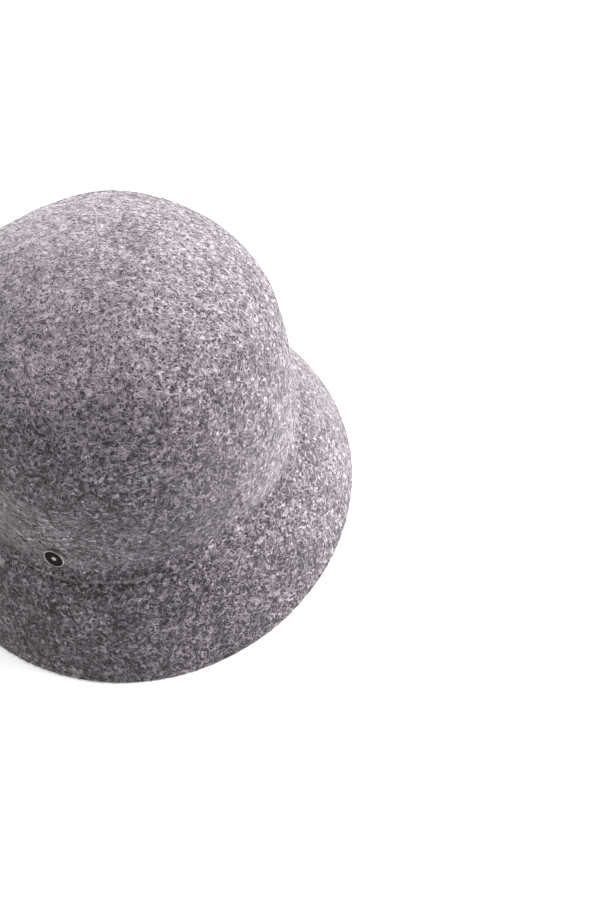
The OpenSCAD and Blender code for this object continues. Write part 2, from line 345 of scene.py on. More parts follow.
def hood_point(angle, s):
    """Points of the felt's surface at angles and distances along the outline, with its handwork."""
    radius = np.interp(s, ALONG, OUTLINE[:, 0])
    z = np.interp(s, ALONG, OUTLINE[:, 1])
    kind = np.interp(s, ALONG, STRETCH)
    points = on_oval(radius, angle, z)
    outside = 1 - smooth(kind - EDGE)
    free = smooth(z / EDGE_FREE_Z)
    top = smooth((z - BREAK_Z - DENT_TOP_Z[0]) / (DENT_TOP_Z[1] - DENT_TOP_Z[0]))
    dents = (DENT_SIDE + DENT_TOP * top) * field(points, DENTS)
    uneven = free * outside * (RIPPLE_SIZE * field(points, RIPPLES) + dents)
    holes = np.cos(np.pi * angle / STITCH_PITCH - np.pi / 2) ** 4
    uneven = uneven - STITCH_PULL * holes * np.exp(-((s - SEAM_AT) / STITCH_REACH) ** 2)
    wrapped = np.where(angle > 180, angle - 360, angle)
    off = ((wrapped - HOLLOW_ANGLE) / HOLLOW_REACH[0]) ** 2 + ((z - HOLLOW_Z) / HOLLOW_REACH[1]) ** 2
    uneven = uneven - HOLLOW_DEPTH * np.exp(-off)
    way = points - HOOD_MIDDLE
    way /= np.maximum(np.linalg.norm(way, axis=-1, keepdims=True), 1.0)
    return points + way * uneven[..., None]


def hood_frame(angle, s):
    """Points of the felt's surface with their normals and two tangents."""
    here = hood_point(angle, s)
    across = hood_point(angle + 0.2, s) - hood_point(angle - 0.2, s)
    down = hood_point(angle, s + 0.25) - hood_point(angle, s - 0.25)
    down /= np.maximum(np.linalg.norm(down, axis=-1, keepdims=True), 1e-9)
    across /= np.maximum(np.linalg.norm(across, axis=-1, keepdims=True), 1e-9)
    normal = np.cross(down, across)
    normal /= np.maximum(np.linalg.norm(normal, axis=-1, keepdims=True), 1e-9)
    return here, normal, across, down


def felt_hood(material):
    """The crown and brim as one closed skin, closer where the outline turns."""
    spacing = np.choose(STRETCH, HOOD_SPACING)
    near_ridge = np.abs(OUTLINE[:, 1] - BREAK_Z - RIDGE_ZONE[0]) < RIDGE_ZONE[1]
    spacing = np.where(near_ridge & (STRETCH < EDGE), RIDGE_SPACING, spacing)
    count = np.concatenate([[0], np.cumsum(np.diff(ALONG) / spacing[1:])])
    rows = int(count[-1])
    s = np.interp(np.linspace(0, count[-1], rows + 1)[1:-1], count, ALONG)
    angle = np.arange(HOOD_COLUMNS) * 360 / HOOD_COLUMNS
    rings = hood_point(angle[None, :], s[:, None])
    poles = np.stack([hood_point(0.0, ALONG[0]), hood_point(0.0, ALONG[-1])]).reshape(2, 3)
    points = np.vstack([rings.reshape(-1, 3), poles])
    quads = grid_faces(len(s), HOOD_COLUMNS, wrap_columns=True)[:, ::-1]
    faces = [tuple(q) for q in quads.tolist()]
    last = (len(s) - 1) * HOOD_COLUMNS
    outer, inner = len(points) - 2, len(points) - 1
    for k in range(HOOD_COLUMNS):
        after = (k + 1) % HOOD_COLUMNS
        faces.append((outer, k, after))
        faces.append((inner, last + after, last + k))
    mesh = bpy.data.meshes.new("felt_hood_skin")
    mesh.from_pydata((points * MM).tolist(), [], faces)
    mesh.shade_smooth()
    made = bpy.data.objects.new("felt_hood_skin", mesh)
    bpy.context.scene.collection.objects.link(made)
    made.data.materials.append(material)
    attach(made, "hat")
    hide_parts("felt_hood")
    return made


# ---------------------------------------------------------------- wool fibres


def spindles(name, lines, radius, material):
    """Closed, tapered fibres of three sides along lines of points, shape (count, points, 3)."""
    count, steps, _ = lines.shape
    run = np.gradient(lines, axis=1)
    run /= np.maximum(np.linalg.norm(run, axis=2, keepdims=True), 1e-9)
    helper = RANDOM.normal(size=(count, 1, 3))
    side = np.cross(run, helper)
    side /= np.maximum(np.linalg.norm(side, axis=2, keepdims=True), 1e-9)
    other = np.cross(run, side)
    middle = steps - 2
    per = 2 + 3 * middle
    points = np.empty((count, per, 3))
    points[:, 0] = lines[:, 0]
    points[:, -1] = lines[:, -1]
    for i in range(middle):
        for k in range(3):
            turn = 2 * np.pi * k / 3
            out = math.cos(turn) * side[:, i + 1] + math.sin(turn) * other[:, i + 1]
            points[:, 1 + 3 * i + k] = lines[:, i + 1] + radius[:, None] * out
    points[..., 2] = np.maximum(points[..., 2], TABLE_CLEAR)
    tris = []
    for k in range(3):
        after = (k + 1) % 3
        tris.append((0, 1 + after, 1 + k))
        end = 1 + 3 * (middle - 1)
        tris.append((per - 1, end + k, end + after))
        for i in range(middle - 1):
            low, high = 1 + 3 * i, 4 + 3 * i
            tris.append((low + k, low + after, high + after))
            tris.append((low + k, high + after, high + k))
    faces = (np.array(tris)[None] + (np.arange(count) * per)[:, None, None]).reshape(-1, 3)
    made = mesh_object(name, points.reshape(-1, 3), faces)
    made.data.materials.append(material)
    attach(made, "hat")
    return made


def scatter(count, shares):
    """Random places on the felt, by area and share, with none under the band or badge."""
    keep = np.select([STRETCH <= BRIM, STRETCH == EDGE], [1.0, shares[0]], shares[1])
    z = OUTLINE[:, 1]
    covered = (STRETCH == INSIDE) & (z > BREAK_Z - 1) & (z < BAND_HIGH[2] + 1.5)
    keep = np.where(covered, 0.0, keep)
    total = np.cumsum(keep * np.maximum(OUTLINE[:, 0], 0.3))
    s = np.interp(RANDOM.uniform(0, total[-1], count), total, ALONG)
    angle = RANDOM.uniform(0, 360, count)
    here, normal, across, down = hood_frame(angle, s)
    badge = (BADGE_LOW + BADGE_HIGH) / 2
    clear = np.linalg.norm(here - badge, axis=1) > BADGE_CLEAR
    return here[clear], normal[clear], across[clear], down[clear]


CLUMPS = waves(60, 2.0, 9.0, 5)


def lying_fibres(materials, count):
    """Curled fibres that lie in the surface, each tone in wisps of its own."""
    here, normal, across, down = scatter(count, LYING_SHARES)
    n = len(here)
    length = RANDOM.gamma(4.0, 0.62, n) + 0.9
    heading = RANDOM.uniform(0, 2 * np.pi, n)
    curl = RANDOM.normal(0, 0.7, n)
    sway = RANDOM.normal(0, 0.8, n)
    lift_a = 0.02 + 0.4 * RANDOM.random(n) ** 2
    lift_b = 0.02 + 0.4 * RANDOM.random(n) ** 2
    t = np.linspace(-0.5, 0.5, LYING_POINTS)
    lines = np.empty((n, LYING_POINTS, 3))
    fine = np.linspace(-0.5, 0.5, LYING_CURVE_STEPS + 1)
    turning = heading[:, None] + (curl * length)[:, None] * fine + sway[:, None] * np.sin(7 * fine)
    step = (length / LYING_CURVE_STEPS)[:, None]
    x = np.cumsum(np.cos(turning) * step, axis=1)
    y = np.cumsum(np.sin(turning) * step, axis=1)
    middle = LYING_CURVE_STEPS // 2
    x -= x[:, middle, None]
    y -= y[:, middle, None]
    pick = np.round((t + 0.5) * LYING_CURVE_STEPS).astype(int)
    for k, i in enumerate(pick):
        rise = LYING_BASE + np.where(t[k] < 0, lift_a, lift_b) * (2 * abs(t[k])) ** 2
        lines[:, k] = here + across * x[:, i, None] + down * y[:, i, None] + normal * rise[:, None]
    radius = RANDOM.uniform(*LYING_RADIUS, n)
    tone = field(here, CLUMPS) + RANDOM.normal(0, TONE_SCATTER, n)
    # Painted light: the fibres' tones vary less towards the top of the crown, as a painted haze of the
    # lit top.
    painted_light = smooth((here[:, 2] - LIT_TOP_Z[0]) / (LIT_TOP_Z[1] - LIT_TOP_Z[0]))
    tone = tone * (1 - LIT_TOP_HAZE_SHARE * painted_light)
    cuts = np.quantile(tone, TONE_CUTS)
    for i, (kind, material) in enumerate(materials.items()):
        mine = np.flatnonzero((tone >= cuts[i]) & (tone <= cuts[i + 1]))
        parts = math.ceil(len(mine) / FIBRES_PER_PIECE)
        for part, some in enumerate(np.array_split(mine, parts)):
            spindles(f"felt_nap_{kind}_{part + 1}", lines[some], radius[some], material)


def standing_fibres(material, count):
    """Short loose fibres that stand off the surface and soften its outline."""
    here, normal, across, down = scatter(count, STANDING_SHARES)
    n = len(here)
    heading = RANDOM.uniform(0, 2 * np.pi, n)[:, None]
    way = across * np.cos(heading) + down * np.sin(heading)
    length = RANDOM.gamma(4.0, 0.3, n)[:, None] + 0.3
    lean = RANDOM.uniform(0.5, 1.5, n)[:, None]
    bend = RANDOM.normal(0, 0.35, n)[:, None]
    side = np.cross(normal, way)
    lines = np.empty((n, 4, 3))
    for k, t in enumerate(np.linspace(0, 1, 4)):
        out = length * t * (1.0 - 0.35 * t * lean)
        lines[:, k] = here + normal * (0.55 * out - 0.05) + way * (length * t * lean * 0.7)
        lines[:, k] += side * (bend * length * t * t)
    parts = math.ceil(n / FIBRES_PER_PIECE)
    for part, some in enumerate(np.array_split(np.arange(n), parts)):
        radius = np.full(len(some), STANDING_RADIUS)
        spindles(f"felt_fuzz_{part + 1}", lines[some], radius, material)


# ---------------------------------------------------------------- ribbon and labels


def lining(angle, z):
    """Radius of the ribbon's outer face: straight, flared at its foot, lifted over the washer."""
    rise = z - BREAK_Z
    up = rise / (BAND_HIGH[2] - BREAK_Z)
    face = (1 - up) * crown_in(BREAK_Z) + up * crown_in(BAND_HIGH[2]) - BAND_GAP
    face = face + FOOT_FLARE * np.maximum(0, 1 - rise / FOOT_RISE)
    wrapped = np.where(angle > 180, angle - 360, angle)
    return face - WASHER_LIFT * plateau(wrapped, BADGE_ANGLE, WASHER_HALF, WASHER_RAMP)


def lap(angle):
    """How far the ribbon's last end is lifted to lie over its first end."""
    return LAP_LIFT * plateau(angle, LAP_CENTRE + 360, LAP_HALF, LAP_RAMP)


def ribbon_face(angle, z, depth=0.0):
    """Points of the ribbon's inner face, or at a depth inside it."""
    return on_oval(lining(angle, z) - BAND_THICKNESS - lap(angle) - depth, angle, z)


def ribbon_frame(angle, z):
    """Points of the ribbon's inner face with the inward normal and the way along."""
    here = ribbon_face(angle, z)
    along = ribbon_face(angle + 0.3, z) - ribbon_face(angle - 0.3, z)
    along /= np.linalg.norm(along, axis=-1, keepdims=True)
    up = np.zeros_like(along)
    up[..., 2] = 1.0
    return here, np.cross(up, along), along


def sweatband(material):
    """Grosgrain ribbon with ribs across it, selvedges and a lapped end."""
    first, last = LAP_CENTRE - LAP_HALF, LAP_CENTRE + 360 + LAP_HALF
    height = BAND_HIGH[2] - BREAK_Z
    length = math.radians(last - first) * (1 + OVAL) / 2 * (HALF_WIDTH - FELT)
    ribs = round(length / RIB_PITCH)
    columns = ribs * 4 + 1
    angle = np.linspace(first, last, columns)
    rib = np.cos(2 * np.pi * ribs * (angle - first) / (last - first))
    inner = np.array([0, 0.02, 0.045, 0.135, 0.4, 0.6, 0.85, 0.955, 0.98, 1])
    rise = np.concatenate([inner, inner[::-1]])
    face = np.concatenate([np.full(10, -1.0), np.full(10, 1.0)])
    edge = np.concatenate([[0.0, 0.8, 1, 1, 1, 1, 1, 1, 0.8, 0.0]] * 2)
    selvedge = np.minimum(rise, 1 - rise) * height < SELVEDGE
    rows = []
    for up, side, full, bound in zip(rise, face, edge, selvedge, strict=True):
        relief = RIB_HEIGHT * (0.5 if bound else 1.0) * rib * full
        half = (BAND_THICKNESS / 2 - RIB_HEIGHT + relief) * full
        radius = lining(angle, BREAK_Z + up * height) - BAND_THICKNESS / 2 - lap(angle)
        fray = 0.05 * (1 - full) * rib
        rows.append(on_oval(radius - side * half, angle, BREAK_Z + up * height + fray * side))
    points = np.stack(rows)
    faces = grid_faces(len(rows), columns, wrap_rows=True)
    caps = []
    for k in range(9):
        for column in (0, columns - 1):
            quad = [k, k + 1, 18 - k, 19 - k] if column else [19 - k, 18 - k, k + 1, k]
            caps.append([row * columns + column for row in quad])
    uv = np.stack(np.broadcast_arrays(
        (angle - first)[None, :] / (last - first) * length, (rise * height)[:, None]), -1)
    made = mesh_object("sweatband_ribbon", points.reshape(-1, 3),
                       np.vstack([faces, caps]), uv.reshape(-1, 2))
    made.data.materials.append(material)
    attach(made, "hat")
    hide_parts("sweatband")
    return made


def closed_cloth(rows, columns):
    """Faces of a sheet with two sides: a grid of points for the front, then one for the back."""
    front = grid_faces(rows, columns)
    ring = np.concatenate([
        np.arange(columns), np.arange(1, rows) * columns + columns - 1,
        (rows - 1) * columns + np.arange(columns - 2, -1, -1), np.arange(rows - 2, 0, -1) * columns])
    after = np.roll(ring, -1)
    behind = rows * columns
    rim = np.stack([ring + behind, after + behind, after, ring], -1)
    return np.vstack([front, front[:, ::-1] + behind, rim])


def brand_label(material):
    """Blank woven label with turned ends, pillowed between its stitches and over the size tab."""
    columns, rows = 161, 49
    half = math.degrees(math.asin(BRAND_HIGH[0] / (HALF_WIDTH - FELT - BAND_GAP - BAND_THICKNESS)))
    angle = np.linspace(-90 - half, -90 + half, columns)[None, :]
    z = np.linspace(BRAND_LOW[2], BRAND_HIGH[2], rows)[:, None]
    u = (angle + 90) / half
    v = (z - BRAND_LOW[2]) / (BRAND_HIGH[2] - BRAND_LOW[2])
    rim = np.minimum(1 - np.abs(u), np.minimum(v, 1 - v) * 0.8)
    rounding = np.sqrt(np.clip(rim / 0.035, 0, 1))
    puff = 0.16 * np.sin(np.pi * np.clip((v - 0.09) / 0.82, 0, 1)) * (1 - u**8)
    half_tab = (TAB_HIGH[0] - TAB_LOW[0]) / 2
    x = np.radians(angle + 90) * HALF_WIDTH
    on_tab = smooth((half_tab + 2.5 - np.abs(x)) / 2.5) * smooth((0.34 - v) / 0.2)
    lift = 0.06 + 0.5 * on_tab
    inner = lift + 0.2 + (0.16 + puff) * rounding
    outer = lift + 0.2 - 0.12 * rounding * (1 - on_tab)
    front, back = ribbon_face(angle, z, inner), ribbon_face(angle, z, outer)
    points = np.concatenate([front.reshape(-1, 3), back.reshape(-1, 3)])
    flat = np.stack(np.broadcast_arrays(x, (v * (BRAND_HIGH[2] - BRAND_LOW[2]))), -1).reshape(-1, 2)
    made = mesh_object("brand_label_cloth", points, closed_cloth(rows, columns),
                       np.concatenate([flat, flat]))
    made.data.materials.append(material)
    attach(made, "hat")
    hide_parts("brand_label")
    return made


def folded_label(name, node_name, low, high, cloth, tail_size, side, material):
    """A folded loop of label tape that hangs from its sewn tail.

    Its two layers hang where the CAD node is. Above the node they close up and lie against the
    cloth behind them. cloth is the tape's thickness, and tail_size the tail's height and its gap
    to that cloth. side is 1 at the back, -1 in front.
    """
    tail, tail_gap = tail_size
    width, bend_z = high[0] - low[0], high[2]
    middle = (low[1] + high[1]) / 2
    gap = (high[1] - low[1]) / 2 - cloth / 2 - 0.04
    fold = low[2] + gap + cloth / 2
    drop = np.linspace(bend_z + tail, fold, 46)
    turn = np.linspace(0, np.pi, 11)[1:-1]
    z = np.concatenate([drop, fold - gap * np.sin(turn), drop[::-1]])[:, None]
    layer = np.concatenate([np.ones(46), np.cos(turn), -np.ones(46)])[:, None]
    x = np.linspace(-width / 2, width / 2, 25)[None, :]
    up = smooth((z - bend_z) / (0.7 * tail))
    closing = 1 - 0.82 * smooth((z - bend_z + 2.5) / (2.5 + 0.6 * tail))
    hang = np.clip((bend_z - z) / (bend_z - fold), 0, 1)
    spread = gap * closing * (1 + 0.35 * np.sin(np.pi * hang) ** 2)
    wall = ribbon_face(450.0 if side > 0 else -90.0, z)[..., 1]
    curve = side * (np.sqrt(HALF_WIDTH**2 - x**2) - HALF_WIDTH)
    behind = wall - side * tail_gap + curve * up
    wave = 0.16 * np.sin(2.2 * np.pi * x / width + 5 * hang) * hang
    flap = middle + side * (wave - 0.25 * hang**2)
    y = flap * (1 - up) + behind * up + side * layer * spread
    centre = np.stack(np.broadcast_arrays(x, y, z), -1)
    normal = np.cross(np.gradient(centre, axis=0), np.gradient(centre, axis=1))
    normal /= np.maximum(np.linalg.norm(normal, axis=2, keepdims=True), 1e-9)
    thin = (cloth / 2 * (1 - 0.35 * up))[..., None]
    count, columns = centre.shape[:2]
    points = np.concatenate([(centre + normal * thin).reshape(-1, 3),
                             (centre - normal * thin).reshape(-1, 3)])
    length = np.concatenate([[0], np.cumsum(np.linalg.norm(np.diff(centre[:, 12], axis=0), axis=1))])
    flat = np.stack(np.broadcast_arrays(x, length[:, None]), -1).reshape(-1, 2)
    made = mesh_object(name, points, closed_cloth(count, columns)[:, ::-1],
                       np.concatenate([flat, flat]))
    made.data.materials.append(material)
    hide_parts(node_name)
    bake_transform(made)
    return made


# ---------------------------------------------------------------- threads


def stitches(name, node, here, away, along, length, arch, material):
    """Twisted three-ply stitches that dip into the cloth at both ends.

    here is each stitch's middle on the cloth, away the way off it and along its own direction.
    """
    rings, sides = 17, 12
    t = np.linspace(-1, 1, rings)
    height = arch * (1 - np.abs(t) ** 5) - 0.42 * np.abs(t) ** 7
    centre = (here[:, None] + along[:, None] * (t * length / 2)[None, :, None]
              + away[:, None] * height[None, :, None])
    turn = np.linspace(0, 2 * np.pi, sides, endpoint=False)
    radius = THREAD_RADIUS * (0.86 + 0.14 * np.cos(3 * turn))
    twist = t * length * 1.7
    spin = turn[None, :] + twist[:, None]
    taper = 1 - 0.45 * np.abs(t) ** 9
    third = np.cross(along, away)
    offset = (away[:, None, None] * np.cos(spin)[None, :, :, None]
              + third[:, None, None] * np.sin(spin)[None, :, :, None])
    points = centre[:, :, None] + offset * (radius[None, :] * taper[:, None])[None, :, :, None]
    faces = grid_faces(rings, sides, wrap_columns=True)
    cap = np.array([[0, k, k + 1, k + 2] for k in range(1, sides - 2, 2)])
    block = np.vstack([faces, cap, cap[:, ::-1] + (rings - 1) * sides])
    per = rings * sides
    every = (block[None] + (np.arange(len(here)) * per)[:, None, None]).reshape(-1, 4)
    made = mesh_object(name, points.reshape(-1, 3), every)
    made.data.materials.append(material)
    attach(made, "hat")
    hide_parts(node)
    return made


def seam_needle_thread(material):
    """Outer thread of the seam, in the notch under the ridge."""
    angle = np.arange(0.0, 360 - STITCH_PITCH / 2, STITCH_PITCH)
    radius = HALF_WIDTH + NOTCH[0]
    here = on_oval(radius, angle, BREAK_Z + NOTCH[1])
    along = on_oval(radius, angle + 0.3, 0.0) - on_oval(radius, angle - 0.3, 0.0)
    along /= np.linalg.norm(along, axis=1, keepdims=True)
    away = np.cross(along, [0, 0, 1.0])
    return stitches("needle_thread", "seam_needle_thread", here, away, along,
                    *NEEDLE_STITCH, material)


def seam_bobbin_thread(material):
    """Inner thread of the seam, along the ribbon's lower edge."""
    first = LAP_CENTRE + 7.5
    angle = np.arange(first, first + 357.5, STITCH_PITCH)
    here, away, along = ribbon_frame(angle, np.full(len(angle), BREAK_Z + BOBBIN_RISE))
    return stitches("bobbin_thread", "seam_bobbin_thread", here, away, along,
                    *BOBBIN_STITCH, material)


def join_stitches(material):
    """Upright row that closes the ribbon's lap."""
    low, high = box_mm("sweatband_join_stitches")
    count = 5
    z = np.linspace(low[2] + 1.4, high[2] - 1.4, count)
    angle = np.full(count, LAP_CENTRE + 360 + LAP_HALF - 2.0)
    here, away, _ = ribbon_frame(angle, z)
    up = np.tile([0.0, 0.0, 1.0], (count, 1))
    return stitches("lap_stitches", "sweatband_join_stitches", here, away, up,
                    *LAP_STITCH, material)


def brand_label_stitches(material):
    """Two rows that hold the brand label."""
    low, high = box_mm("brand_label_stitches")
    count = 11
    reach = math.degrees(math.asin((high[0] - 1.2) / BRAND_ROW_RADIUS))
    angle, z = np.meshgrid(np.linspace(-90 - reach, -90 + reach, count), [low[2] + 0.2, high[2] - 0.2])
    here, away, along = ribbon_frame(angle.ravel(), z.ravel())
    over = 0.42 + 0.5 * ((np.abs(here[:, 0]) < 8) & (here[:, 2] < BRAND_LOW[2] + 4))
    here = here + away * over[:, None]
    return stitches("brand_label_thread", "brand_label_stitches", here, away, along,
                    *LABEL_STITCH, material)


def care_label_stitches(material):
    """Short row that holds the care label's tail."""
    low, high = box_mm("care_label_stitches")
    count = 6
    reach = math.degrees(math.asin((high[0] - 1.2) / CARE_ROW_RADIUS))
    angle = 450 + np.linspace(-reach, reach, count)
    here, away, along = ribbon_frame(angle, np.full(count, (low[2] + high[2]) / 2))
    here = here + away * 0.34
    return stitches("care_label_thread", "care_label_stitches", here, away, along,
                    *LABEL_STITCH, material)


# ---------------------------------------------------------------- materials


def new_material(name, roughness, **fixed):
    """A material with one Principled shader, whose fixed numbers are set on its own sockets."""
    made = bpy.data.materials.new(name)
    made.use_nodes = True
    shader = made.node_tree.nodes["Principled BSDF"]
    shader.inputs["Roughness"].default_value = roughness
    for socket, value in fixed.items():
        shader.inputs[socket.replace("_", " ")].default_value = value
    return made, made.node_tree, shader


def node(tree, kind, inputs, **settings):
    """Adds a node. Each input is a value, or another node's output to link from."""
    made = tree.nodes.new(kind)
    for key, value in settings.items():
        setattr(made, key, value)
    for key, value in inputs.items():
        if isinstance(value, bpy.types.NodeSocket):
            tree.links.new(value, made.inputs[key])
        else:
            made.inputs[key].default_value = value
    return made


def in_mm(tree):
    """The object's own coordinates in millimetres."""
    coordinates = node(tree, "ShaderNodeTexCoord", {})
    return node(tree, "ShaderNodeVectorMath", {0: coordinates.outputs["Object"], "Scale": 1000.0},
                operation="SCALE").outputs[0]


def math_node(tree, operation, a, b):
    """One arithmetic step on two numbers or outputs."""
    return node(tree, "ShaderNodeMath", {0: a, 1: b}, operation=operation).outputs[0]


def noise(tree, where, scale, detail=2.0, roughness=0.5, distortion=0.0, kind="FBM"):
    """Noise with a scale in cycles a millimetre."""
    made = node(tree, "ShaderNodeTexNoise", {
        "Vector": where, "Scale": scale, "Detail": detail, "Roughness": roughness,
        "Distortion": distortion}, noise_dimensions="3D", noise_type=kind, normalize=True)
    return made


def ramp(tree, factor, stops):
    """A colour ramp from (position, colour) stops."""
    made = node(tree, "ShaderNodeValToRGB", {"Fac": factor})
    band = made.color_ramp
    band.elements[0].position, band.elements[0].color = stops[0][0], (*stops[0][1], 1)
    band.elements[1].position, band.elements[1].color = stops[-1][0], (*stops[-1][1], 1)
    for position, colour in stops[1:-1]:
        band.elements.new(position).color = (*colour, 1)
    return made.outputs["Color"]


def bump(tree, shader, height, strength, distance_mm):
    """Small relief from a height."""
    made = node(tree, "ShaderNodeBump", {
        "Height": height, "Strength": strength, "Distance": distance_mm * MM})
    tree.links.new(made.outputs["Normal"], shader.inputs["Normal"])


def felt_material():
    """Melange felt: pale wisps over charcoal, with clouds, specks and pits, and painted light that
    evens the tones on the top and sharpens them lower down.
    """
    made, tree, shader = new_material(
        "melange_felt", 0.92, Specular_IOR_Level=0.15, Sheen_Weight=0.45, Sheen_Roughness=0.42,
        Sheen_Tint=(1.0, 0.95, 0.99, 1))
    where = in_mm(tree)
    drift = noise(tree, where, 0.28, 3.0, 0.6)
    pulled = node(tree, "ShaderNodeVectorMath", {
        0: drift.outputs["Color"], 1: (5.0, 5.0, 5.0), 2: where}, operation="MULTIPLY_ADD").outputs[0]
    wisps = noise(tree, pulled, 0.42, 4.0, 0.66, 0.4).outputs["Fac"]
    strands = noise(tree, pulled, 0.8, 3.0, 0.55, 1.2, "RIDGED_MULTIFRACTAL").outputs["Fac"]
    specks = noise(tree, where, 1.9, 2.0, 0.6).outputs["Fac"]
    clouds = noise(tree, where, 0.06, 2.0, 0.5).outputs["Fac"]
    cells = node(tree, "ShaderNodeTexVoronoi", {"Vector": pulled, "Scale": 0.55, "Randomness": 1.0},
                 voronoi_dimensions="3D", feature="F1").outputs["Distance"]
    pits = node(tree, "ShaderNodeMapRange", {
        "Value": cells, "From Min": 0.15, "From Max": 0.5, "To Min": -0.16, "To Max": 0.03},
        interpolation_type="SMOOTHSTEP").outputs["Result"]
    tone = math_node(tree, "MULTIPLY", wisps, 0.56)
    tone = math_node(tree, "ADD", tone, math_node(tree, "MULTIPLY", strands, 0.12))
    tone = math_node(tree, "ADD", tone, math_node(tree, "MULTIPLY", specks, 0.22))
    tone = math_node(tree, "ADD", tone, math_node(tree, "MULTIPLY", clouds, 0.12))
    tone = math_node(tree, "ADD", tone, pits)
    # Painted light: tones are pulled towards the middle on the crown's top, as a painted haze where
    # the light falls, and pushed apart lower down, as painted shade contrast.
    upward = node(tree, "ShaderNodeSeparateXYZ", {0: where}).outputs[2]
    painted_light = node(tree, "ShaderNodeMapRange", {
        "Value": upward, "From Min": LIT_TOP_Z[0], "From Max": LIT_TOP_Z[1],
        "To Min": -SHADED_CONTRAST_SHARE, "To Max": LIT_TOP_HAZE_SHARE}).outputs["Result"]
    to_middle = math_node(tree, "SUBTRACT", 0.52, tone)
    tone = math_node(tree, "ADD", tone, math_node(tree, "MULTIPLY", painted_light, to_middle))
    colour = ramp(tree, tone, [
        (0.40, (0.028, 0.023, 0.027)), (0.46, (0.078, 0.066, 0.076)), (0.52, (0.190, 0.164, 0.184)),
        (0.58, (0.360, 0.320, 0.350)), (0.66, (0.560, 0.510, 0.545))])
    tree.links.new(colour, shader.inputs["Base Color"])
    height = math_node(tree, "ADD", wisps, math_node(tree, "MULTIPLY", specks, 0.6))
    height = math_node(tree, "ADD", height, math_node(tree, "MULTIPLY", pits, 2.5))
    bump(tree, shader, height, 0.6, 0.6)
    return made


def fibre_material(name, dark, pale, sheen):
    """Wool fibre of one tone, which varies a little from place to place."""
    made, tree, shader = new_material(
        name, 0.8, Specular_IOR_Level=0.25, Sheen_Weight=sheen, Sheen_Roughness=0.4)
    where = in_mm(tree)
    tone = noise(tree, where, 0.9, 2.0, 0.6).outputs["Fac"]
    tree.links.new(ramp(tree, tone, [(0.3, dark), (0.7, pale)]), shader.inputs["Base Color"])
    return made


def cloth_coordinates(tree):
    """Flat coordinates of a strip of cloth, in millimetres."""
    return node(tree, "ShaderNodeUVMap", {}, uv_map="Cloth").outputs["UV"]


def ribbon_material():
    """Charcoal grosgrain: fine warp lines over the ribs and dust-grey variation."""
    made, tree, shader = new_material(
        "grosgrain_ribbon", 0.62, Specular_IOR_Level=0.3, Sheen_Weight=0.25, Sheen_Roughness=0.4)
    where = cloth_coordinates(tree)
    parts = node(tree, "ShaderNodeSeparateXYZ", {0: where})
    warp = node(tree, "ShaderNodeMath", {
        0: math_node(tree, "MULTIPLY", parts.outputs[1], 2 * math.pi / 0.32)}, operation="SINE")
    rib = node(tree, "ShaderNodeMath", {
        0: math_node(tree, "MULTIPLY", parts.outputs[0], 2 * math.pi / RIB_PITCH)}, operation="COSINE")
    fuzz = noise(tree, in_mm(tree), 1.6, 3.0, 0.6).outputs["Fac"]
    tone = math_node(tree, "ADD", math_node(tree, "MULTIPLY", warp.outputs[0], 0.10),
                     math_node(tree, "MULTIPLY", rib.outputs[0], 0.14))
    tone = math_node(tree, "ADD", tone, fuzz)
    colour = ramp(tree, tone, [(0.25, (0.020, 0.019, 0.022)), (0.75, (0.085, 0.082, 0.090))])
    tree.links.new(colour, shader.inputs["Base Color"])
    bump(tree, shader, math_node(tree, "ADD", math_node(tree, "MULTIPLY", warp.outputs[0], 0.5), fuzz),
         0.5, 0.12)
    return made


def brand_label_material():
    """Damask label in pale grey with a plain darker border line, and no lettering."""
    made, tree, shader = new_material(
        "damask_label", 0.55, Specular_IOR_Level=0.35, Sheen_Weight=0.2, Sheen_Roughness=0.35)
    where = cloth_coordinates(tree)
    parts = node(tree, "ShaderNodeSeparateXYZ", {0: where})
    warp = node(tree, "ShaderNodeMath", {
        0: math_node(tree, "MULTIPLY", parts.outputs[0], 2 * math.pi / 0.34)}, operation="SINE")
    weft = node(tree, "ShaderNodeMath", {
        0: math_node(tree, "MULTIPLY", parts.outputs[1], 2 * math.pi / 0.26)}, operation="SINE")
    threads = math_node(tree, "MULTIPLY", warp.outputs[0], weft.outputs[0])
    from_side = math_node(tree, "SUBTRACT", BRAND_BORDER[0], node(
        tree, "ShaderNodeMath", {0: parts.outputs[0]}, operation="ABSOLUTE").outputs[0])
    from_middle = node(tree, "ShaderNodeMath", {
        0: math_node(tree, "SUBTRACT", parts.outputs[1], BRAND_MIDDLE)},
        operation="ABSOLUTE").outputs[0]
    inside = math_node(tree, "MINIMUM", from_side,
                       math_node(tree, "SUBTRACT", BRAND_BORDER[1], from_middle))
    line = math_node(tree, "LESS_THAN", node(
        tree, "ShaderNodeMath", {0: inside}, operation="ABSOLUTE").outputs[0], BORDER_HALF)
    fuzz = noise(tree, in_mm(tree), 1.1, 3.0, 0.6).outputs["Fac"]
    tone = math_node(tree, "ADD", math_node(tree, "MULTIPLY", threads, 0.16), fuzz)
    tone = math_node(tree, "SUBTRACT", tone, math_node(tree, "MULTIPLY", line, 0.55))
    colour = ramp(tree, tone, [
        (0.0, (0.070, 0.068, 0.075)), (0.3, (0.36, 0.35, 0.35)), (0.7, (0.52, 0.51, 0.50))])
    tree.links.new(colour, shader.inputs["Base Color"])
    bump(tree, shader, threads, 0.5, 0.08)
    return made


